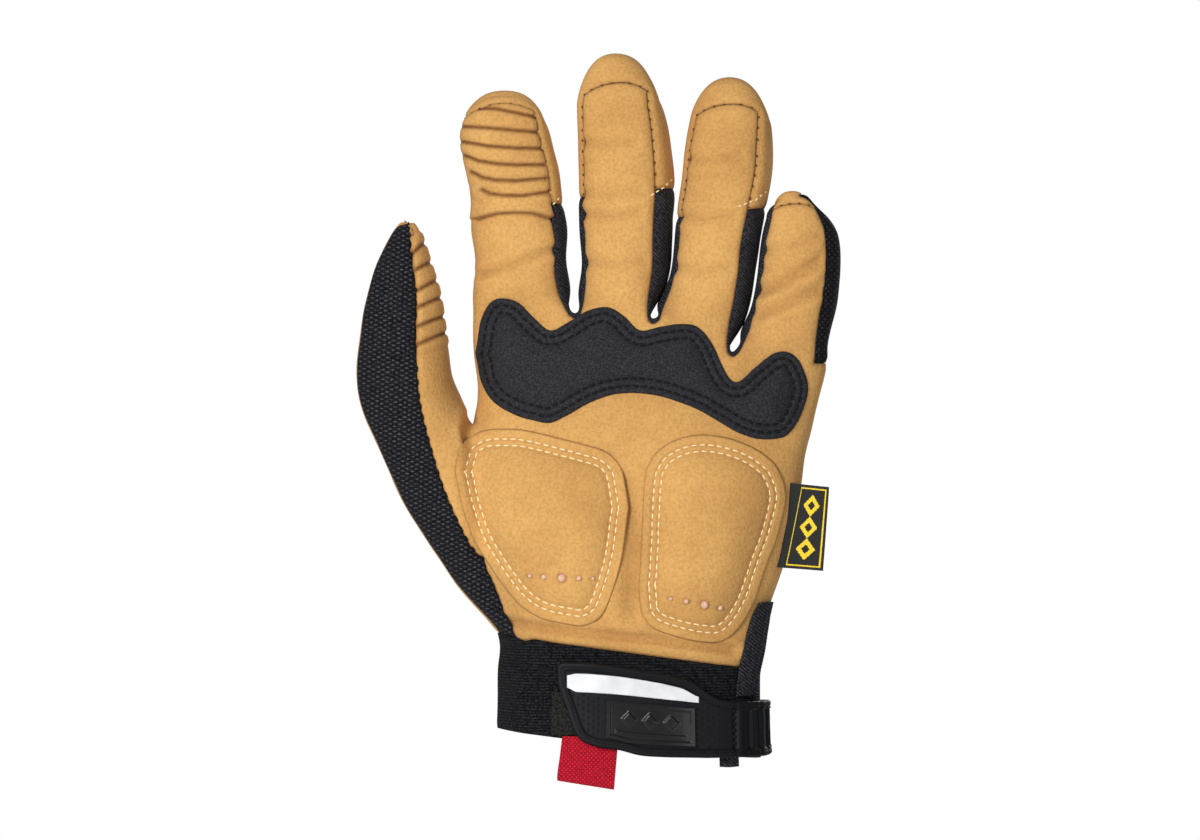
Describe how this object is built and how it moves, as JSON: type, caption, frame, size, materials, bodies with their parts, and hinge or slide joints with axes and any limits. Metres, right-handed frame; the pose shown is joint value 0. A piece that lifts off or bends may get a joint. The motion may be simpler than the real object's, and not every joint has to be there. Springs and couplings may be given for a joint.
{
  "type": "mechanic glove",
  "caption": "Left-hand work glove with a tan suede palm, padded heel and knuckle patches, black fabric back, elastic cuff and a closure strap with a pull loop.",
  "frame": {"origin": "middle of the wrist opening", "axes": "+Z towards the fingertips, -Y out of the palm, +X towards the little finger"},
  "size_m": [0.1678, 0.0641, 0.2514],
  "materials": {
    "tan_suede": "suede",
    "back_cloth": "matte",
    "twill": "matte",
    "knit": "matte",
    "black_suede": "suede",
    "elastic": "ribbed",
    "moulded_rubber": "satin",
    "light_panel": "satin",
    "gloss_plate": "gloss",
    "red_webbing": "woven",
    "label_cloth": "woven",
    "binding_tape": "woven"
  },
  "bodies": {
    "root": {"palm_leather": "tan_suede", "back_fabric": "back_cloth", "sidewall_index_middle": "twill", "sidewall_middle_ring": "twill", "sidewall_ring_pinky": "twill", "index_tip": "tan_suede", "middle_tip": "tan_suede", "ring_tip": "tan_suede", "pinky_tip": "tan_suede", "thumb_knit": "knit", "thumb_back": "tan_suede", "wrist_cuff": "elastic", "knuckle_patch": "black_suede", "heel_pad_thumb_side": "tan_suede", "heel_pad_little_finger_side": "tan_suede", "closure_strap": "moulded_rubber", "hook_patch": "back_cloth", "reflective_panel": "light_panel", "strap_plate": "gloss_plate", "pull_loop": "red_webbing", "hem_tab": "binding_tape", "vent_binding": "binding_tape", "side_label": "label_cloth"}
  },
  "joints": []
}
